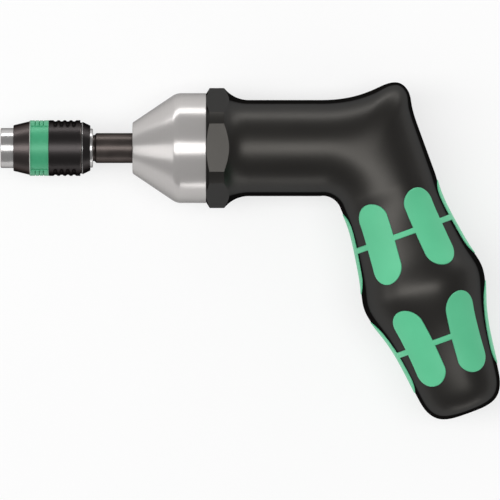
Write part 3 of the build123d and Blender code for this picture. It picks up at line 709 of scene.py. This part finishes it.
def lofted(stations, around):
    """A skin through the stations, capped at the first and closed to a point at the last."""
    bm = bmesh.new()
    circle = bmesh.ops.create_circle(bm, cap_ends=True, segments=around, radius=1, matrix=stations[0][0])
    rim = list(dict.fromkeys(edge for vert in circle["verts"] for edge in vert.link_edges))
    for (before, old_stretch), (after, new_stretch) in zip(stations, stations[1:]):
        pushed = bmesh.ops.extrude_edge_only(bm, edges=rim)["geom"]
        rim = [item for item in pushed if isinstance(item, bmesh.types.BMEdge) and item.is_boundary]
        on_circle = before.inverted()
        for corner in [item for item in pushed if isinstance(item, bmesh.types.BMVert)]:
            place = on_circle @ corner.co
            if place.x > 0:
                place.x *= new_stretch / old_stretch
            corner.co = after @ place
    bmesh.ops.remove_doubles(bm, verts=bm.verts, dist=1e-3)
    bmesh.ops.dissolve_degenerate(bm, edges=bm.edges, dist=1e-4)
    bmesh.ops.recalc_face_normals(bm, faces=bm.faces)
    return bm


AROUND, LINE_STEP = 168, 0.6
BORE_END, INSERT_REAR, INSERT_FRONT, INSERT_RADIUS, INSERT_CLEAR = 106.0, 74.02, 64.6, 13.6, 13.62
COLLAR_FRONT_RADIUS, COLLAR_RADIUS, COLLAR_CHAMFER, COLLAR_REAR = 17.0, 18.6, 1.0, 69.3
FLARE_RADIUS, BARREL_RADIUS, ELBOW_START = 9.8, 14.9, 99.05
TILT, INNER_GAP, GRIP_BACK_CROSSING, GRIP_TOP_RADIUS = math.radians(20), 5.4, 32.8, 15.65
along = Vector((1, 0))
upright_side = Vector((0, 1))
grip_down = Vector((math.sin(TILT), -math.cos(TILT)))
grip_back = Vector((math.cos(TILT), math.sin(TILT)))
grip_origin = Vector((ELBOW_START + GRIP_BACK_CROSSING - GRIP_TOP_RADIUS / math.cos(TILT), 0))
elbow_pivot = Vector((ELBOW_START, -BARREL_RADIUS - INNER_GAP))
grip_top = (elbow_pivot - grip_origin).dot(grip_down)
inner_last = (grip_origin - elbow_pivot).dot(grip_back) - GRIP_TOP_RADIUS

flare_rise = FLARE_RADIUS - (COLLAR_RADIUS - BARREL_RADIUS)
flare_end = COLLAR_REAR + math.sqrt(FLARE_RADIUS**2 - flare_rise**2)
flare_top = BARREL_RADIUS + FLARE_RADIUS
FLARE_LINES, BARREL_LINES = 18, 10
flare = []
for line in range(1, FLARE_LINES + 1):
    x = COLLAR_REAR + (flare_end - COLLAR_REAR) * line / FLARE_LINES
    flare.append((x, flare_top - math.sqrt(FLARE_RADIUS**2 - (flare_end - x) ** 2)))
barrel_step = (ELBOW_START - flare_end) / BARREL_LINES
turned_part = [
    (BORE_END, CLUTCH_BORE),
    (INSERT_REAR, CLUTCH_BORE),
    (INSERT_REAR, INSERT_CLEAR),
    (INSERT_FRONT, INSERT_CLEAR),
    (INSERT_FRONT, INSERT_RADIUS),
    (HOUSING_REAR, INSERT_RADIUS),
    (HOUSING_REAR, COLLAR_FRONT_RADIUS),
    (HOUSING_REAR + COLLAR_CHAMFER, COLLAR_RADIUS),
    (COLLAR_REAR, COLLAR_RADIUS),
    *flare,
    *[(flare_end + barrel_step * line, BARREL_RADIUS) for line in range(1, BARREL_LINES)],
]
stations = [station(Vector((x, 0)), upright_side, radius) for x, radius in turned_part]

HORN_LINE = [(0, 0), (11.45, 1.4), (17.55, 3.7), (21.55, 5.3), (24.55, 5.3), (27.55, 2.3), (28.35, -1.3)]
HORN_FOOT_RISE, BACK_LINES = 2.0, 20
barrel_top = Vector((ELBOW_START, BARREL_RADIUS))
horn_foot = grip_origin + grip_back * GRIP_TOP_RADIUS - grip_down * HORN_FOOT_RISE
horn_points = [barrel_top + Vector(point) for point in HORN_LINE] + [horn_foot]
horn = drawn(horn_points, along, grip_down, LINE_STEP)
elbow_end = grip_origin + grip_back * GRIP_TOP_RADIUS + grip_down * grip_top
for line in range(1, BACK_LINES + 1):
    horn.append(horn_foot.lerp(elbow_end, line / BACK_LINES))
for crest in horn:
    reach = crest - elbow_pivot
    share = reach.angle(upright_side) / (math.pi / 2 - TILT)
    inner = INNER_GAP + (inner_last - INNER_GAP) * share
    radius = BARREL_RADIUS + (GRIP_TOP_RADIUS - BARREL_RADIUS) * share
    ridge = elbow_pivot + reach.normalized() * (inner + radius)
    stations.append(station(ridge, reach, radius, reach.length - inner - radius))

GRIP_LINE = [
    (grip_top, GRIP_TOP_RADIUS),
    (18.0, 15.4),
    (32.0, 16.7),
    (39.0, 18.0),
    (45.7, 19.45),
    (57.0, 16.75),
    (67.0, 14.6),
    (78.0, 13.2),
    (82.3, 12.2),
    (85.4, 10.1),
    (87.4, 0),
]
grip_outline = drawn(GRIP_LINE, (1, 0), (0, -1), LINE_STEP)
for at, radius in grip_outline[1:]:
    stations.append(station(grip_origin + grip_down * at, grip_back, radius))
handle = lofted(stations, AROUND)

# The flats of the collar, each cut by a plane and closed again. The bore and the insert's seat stay whole.
COLLAR_FLATS, SEAT_RADIUS = 6, 14
for flat in range(COLLAR_FLATS):
    turn = math.tau * flat / COLLAR_FLATS
    facing = Vector((0, math.sin(turn), math.cos(turn)))
    near = {}
    for face in handle.faces:
        if face.calc_center_median().x < flare_end and face.verts[0].co.yz.length > SEAT_RADIUS:
            near |= dict.fromkeys((face, *face.edges, *face.verts))
    plane = {"plane_co": facing * housing_radius, "plane_no": facing}
    cut = bmesh.ops.bisect_plane(handle, geom=list(near), dist=1e-4, clear_outer=True, **plane)
    rim = [item for item in cut["geom_cut"] if isinstance(item, bmesh.types.BMEdge)]
    for edge in rim:
        edge.smooth = False
    bmesh.ops.edgeloop_fill(handle, edges=rim)
bmesh.ops.recalc_face_normals(handle, faces=handle.faces)


# Grip pads.
# Two rings of six soft green pads, each joined by a band, which stops beside the lower pad at the back.
# They are a thermoplastic elastomer, moulded into pockets in the grip and standing 0.25 mm proud of it.
def soft_green():
    """A soft-touch thermoplastic elastomer: matt, with a broad pale sheen and a fine moulded grain."""
    material, tree, place = new_material("green_elastomer")
    grain = add_node(tree, "ShaderNodeTexNoise", {"Vector": place, "Scale": 3500.0, "Detail": 3.0})
    cloud = add_node(tree, "ShaderNodeTexNoise", {"Vector": place, "Scale": 90.0, "Detail": 3.0})
    tones = {"Fac": cloud.outputs["Fac"], "Color1": linear("51b988"), "Color2": linear("5dc795")}
    tone = add_node(tree, "ShaderNodeMixRGB", tones)
    spread = {"Value": grain.outputs["Fac"], "To Min": 0.46, "To Max": 0.58}
    rough = add_node(tree, "ShaderNodeMapRange", spread)
    pits = {"Height": grain.outputs["Fac"], "Strength": 0.25, "Distance": 0.00004}
    close_material(
        tree,
        {
            "Base Color": tone.outputs["Color"],
            "Roughness": rough.outputs["Result"],
            "Sheen Weight": 0.35,
            "Sheen Roughness": 0.5,
            "Sheen Tint": linear("9fe0c0"),
            "Normal": add_node(tree, "ShaderNodeBump", pits).outputs["Normal"],
        },
    )
    return material


def grip_radius(at):
    """The radius of the grip's skin at a place on its axis."""
    for (start, a), (end, b) in zip(grip_outline, grip_outline[1:]):
        if at <= end:
            return a + (b - a) * (at - start) / (end - start)
    return 0.0


PADS, PAD_TURN, PAD_LENGTH, PAD_WIDTH, PAD_DEPTH, PAD_PROUD = 6, 60, 25.6, 10.2, 2.0, 0.25
BAND_WIDTH, PAD_GAP, PAD_ROUND, POCKET_CLEAR, POCKET_TOP = 1.9, 0.05, 0.35, 0.02, 1.0
PAD_SIDES, SLICES_ALONG, SLICES_ROUND = 46, 32, 24


def flat_pad(pad_at, band_at, grown, floor, top, rounded, arms_at):
    """One pad with its arms of the band, drawn flat, with X along the grip and Y round it in degrees, given
    its thickness and sliced."""
    bm = bmesh.new()
    half_width = PAD_WIDTH / 2 + grown
    half_step = Matrix.Rotation(math.pi / PAD_SIDES, 4, "Z")
    bmesh.ops.create_circle(bm, cap_ends=True, segments=PAD_SIDES, radius=half_width, matrix=half_step)
    for side in (-1, 1):
        end = [v for v in bm.verts if v.co.x * side > 0]
        bmesh.ops.translate(bm, verts=end, vec=(side * (PAD_LENGTH - PAD_WIDTH) / 2, 0, 0))
    bmesh.ops.translate(bm, verts=bm.verts, vec=(pad_at, 0, 0))
    for edge_at in (band_at - BAND_WIDTH / 2 - grown, band_at + BAND_WIDTH / 2 + grown):
        everything = [*bm.verts, *bm.edges, *bm.faces]
        bmesh.ops.bisect_plane(bm, geom=everything, dist=1e-5, plane_co=(edge_at, 0, 0), plane_no=(1, 0, 0))
    for vert in bm.verts:
        vert.co.y = math.degrees(math.asin(vert.co.y / grip_radius(vert.co.x)))
    for side in arms_at:
        near = BAND_WIDTH / 2 + grown + 1e-3
        arms = [e for e in bm.edges if e.is_boundary and all(abs(v.co.x - band_at) < near for v in e.verts)]
        arms = [e for e in arms if all(v.co.y * side > 0 for v in e.verts)]
        pushed = bmesh.ops.extrude_edge_only(bm, edges=arms)["geom"]
        for vert in [item for item in pushed if isinstance(item, bmesh.types.BMVert)]:
            vert.co.y = side * PAD_TURN / 2
    bmesh.ops.translate(bm, verts=bm.verts, vec=(0, 0, floor))
    base = list(bm.faces)
    pushed = bmesh.ops.extrude_face_region(bm, geom=base)["geom"]
    raised = [item for item in pushed if isinstance(item, bmesh.types.BMVert)]
    bmesh.ops.translate(bm, verts=raised, vec=(0, 0, top - floor))
    ends = [f for f in bm.faces if all(abs(abs(v.co.y) - PAD_TURN / 2) < 1e-4 for v in f.verts)]
    bmesh.ops.delete(bm, geom=ends, context="FACES")
    bmesh.ops.recalc_face_normals(bm, faces=bm.faces)
    if rounded:
        ease_edges(bm, rounded, lambda edge: all(vert.co.z > top - 1e-3 for vert in edge.verts), 3)
    low, high = min(v.co.x for v in bm.verts), max(v.co.x for v in bm.verts)
    along_grip, round_grip = (1, 0, 0), (0, 1, 0)
    cuts = [((low + (high - low) * k / SLICES_ALONG, 0, 0), along_grip) for k in range(1, SLICES_ALONG)]
    cuts += [((0, PAD_TURN * (k / SLICES_ROUND - 0.5), 0), round_grip) for k in range(1, SLICES_ROUND)]
    for place, facing in cuts:
        everything = [*bm.verts, *bm.edges, *bm.faces]
        bmesh.ops.bisect_plane(bm, geom=everything, dist=1e-5, plane_co=place, plane_no=facing)
    return bm


def pad_ring(pad_at, band_at, gaps, grown, floor, top, rounded):
    """Six pads, joined by their band but for the gaps in it, and wrapped on the grip. Gap 0 lies before the
    first pad, gap 1 after it, and so on."""
    bm = bmesh.new()
    for number in range(PADS):
        arms_at = [side for side, end in ((-1, number), (1, (number + 1) % PADS)) if end not in gaps]
        pad = flat_pad(pad_at, band_at, grown, floor, top, rounded, arms_at)
        bmesh.ops.translate(pad, verts=pad.verts, vec=(0, number * PAD_TURN, 0))
        blank = bpy.data.meshes.new("blank")
        pad.to_mesh(blank)
        pad.free()
        bm.from_mesh(blank)
        bpy.data.meshes.remove(blank)
    for vert in bm.verts:
        at, turn, height = vert.co.x, math.radians(vert.co.y + PAD_TURN / 2), vert.co.z
        radius = grip_radius(at) + height
        middle = grip_origin + grip_down * at
        outward = grip_back.to_3d() * math.sin(turn) + Vector((0, 0, math.cos(turn)))
        vert.co = middle.to_3d() + outward * radius
    bmesh.ops.remove_doubles(bm, verts=bm.verts, dist=1e-3)
    bmesh.ops.recalc_face_normals(bm, faces=bm.faces)
    return bm


elastomer = soft_green()

# How far down the grip the middle of the pads and of their band lies, and the gaps in the band.
PAD_RINGS ={"upper": (28.8, 28.4, ()), "lower": (63.2, 63.1, (1, 2))}
for which, where in PAD_RINGS.items():
    pads = pad_ring(*where, -PAD_GAP, -PAD_DEPTH, PAD_PROUD, PAD_ROUND)
    finish_piece(pads, f"{which}_pads", "handle", "green_pad", elastomer, f"{which}_grip_pads")
pockets = [pad_ring(*where, 0, -PAD_DEPTH - POCKET_CLEAR, POCKET_TOP, 0) for where in PAD_RINGS.values()]
handle = carved(handle, pockets)
finish_piece(handle, "handle_moulding", "handle", "black_handle", black_nylon(), "handle_body")


# Floor.
# A plain white studio table, which carries the tool on its side and takes its shadow. Its paint is shown
# mostly as plain white, and the rest of it takes the light. Lengths are in metres from here on.
WHITE_SHARE, TABLE_HALF_WIDTH = 0.65, 6.0
floor_mesh = bmesh.new()
bmesh.ops.create_grid(floor_mesh, x_segments=1, y_segments=1, size=TABLE_HALF_WIDTH)
bmesh.ops.translate(floor_mesh, verts=floor_mesh.verts, vec=(0, 0, cad_box[0].z))
table_mesh = bpy.data.meshes.new("table")
floor_mesh.to_mesh(table_mesh)
floor_mesh.free()
table = bpy.data.objects.new("table", table_mesh)
bpy.context.scene.collection.objects.link(table)
table_paint, tree, place = new_material("white_table")
paint = add_node(tree, "ShaderNodeTexNoise", {"Vector": place, "Scale": 30.0, "Detail": 2.0})
tones = {"Fac": paint.outputs["Fac"], "Color1": linear("f8f8f8"), "Color2": linear("fcfcfc")}
tone = add_node(tree, "ShaderNodeMixRGB", tones)
matt = add_node(tree, "ShaderNodeBsdfDiffuse", {"Color": tone.outputs["Color"]})
white = add_node(tree, "ShaderNodeEmission", {"Color": linear("ffffff"), "Strength": 1.0})
seen = add_node(tree, "ShaderNodeLightPath")
mirrored = {0: seen.outputs["Is Camera Ray"], 1: seen.outputs["Is Glossy Ray"]}
looked_at = add_node(tree, "ShaderNodeMath", mirrored, operation="MAXIMUM")
through = {0: looked_at.outputs[0], 1: seen.outputs["Is Transmission Ray"]}
looked_at = add_node(tree, "ShaderNodeMath", through, operation="MAXIMUM")
share = add_node(tree, "ShaderNodeMath", {0: looked_at.outputs[0], 1: WHITE_SHARE}, operation="MULTIPLY")
both = add_node(tree, "ShaderNodeMixShader", {0: share.outputs[0], 1: matt.outputs[0], 2: white.outputs[0]})
add_node(tree, "ShaderNodeOutputMaterial", {"Surface": both.outputs[0]})
table_mesh.materials.append(table_paint)

# Light.
# A soft strip above the tool, one low strip on each side of it and a small lamp off its nose, in an even
# pale room. They give the black handle and the metal long highlights. The camera doesn't see the lamps.
ROOM_LEVEL, TOOL_MIDDLE = 0.29, Vector((0.077, -0.032, 0))
room = bpy.data.worlds.new("studio")
room.use_nodes = True
room.node_tree.nodes.clear()
pale = {"Color": linear("ffffff"), "Strength": ROOM_LEVEL}
air = add_node(room.node_tree, "ShaderNodeBackground", pale)
add_node(room.node_tree, "ShaderNodeOutputWorld", {"Surface": air.outputs[0]})
bpy.context.scene.world = room


def strip_lamp(name, place, size, radiance):
    """A soft rectangular lamp that faces the middle of the tool."""
    lamp = bpy.data.lights.new(name, "AREA")
    lamp.shape = "RECTANGLE"
    lamp.size, lamp.size_y = size
    lamp.energy = radiance * math.pi * size[0] * size[1]
    holder = bpy.data.objects.new(name, lamp)
    bpy.context.scene.collection.objects.link(holder)
    holder.visible_camera = False
    away = (Vector(place) - TOOL_MIDDLE).normalized()
    long_side = Vector((1, 0, 0)) if abs(away.x) < 0.9 else Vector((0, 1, 0))
    other = away.cross(long_side).normalized()
    axes = Matrix((other.cross(away), other, away)).transposed()
    holder.matrix_world = Matrix.Translation(place) @ axes.to_4x4()


strip_lamp("overhead_strip", (-0.9, -0.032, 4.6), (8.0, 1.9), 4.2)
strip_lamp("horn_side_strip", (0.077, 1.0, 0.1), (2.4, 0.2), 4.8)
strip_lamp("grip_side_strip", (0.5, -1.05, 0.1), (1.2, 0.2), 2.6)
strip_lamp("nose_end_lamp", (-1.3, -0.16, 0.52), (0.6, 0.5), 2.0)

# Camera.
# It looks straight down from 3.9 m with a very long lens, so that near and far parts keep their size as in
# the photograph.
lens = bpy.data.cameras.new("camera")
lens.type, lens.lens, lens.sensor_width, lens.clip_end = "PERSP", 900.0, 36.0, 20.0
camera = bpy.data.objects.new("camera", lens)
camera.matrix_world = Matrix.Translation((0.0773, -0.0316, 3.875))
bpy.context.scene.collection.objects.link(camera)
bpy.context.scene.camera = camera
bpy.context.scene.view_settings.view_transform = "Standard"
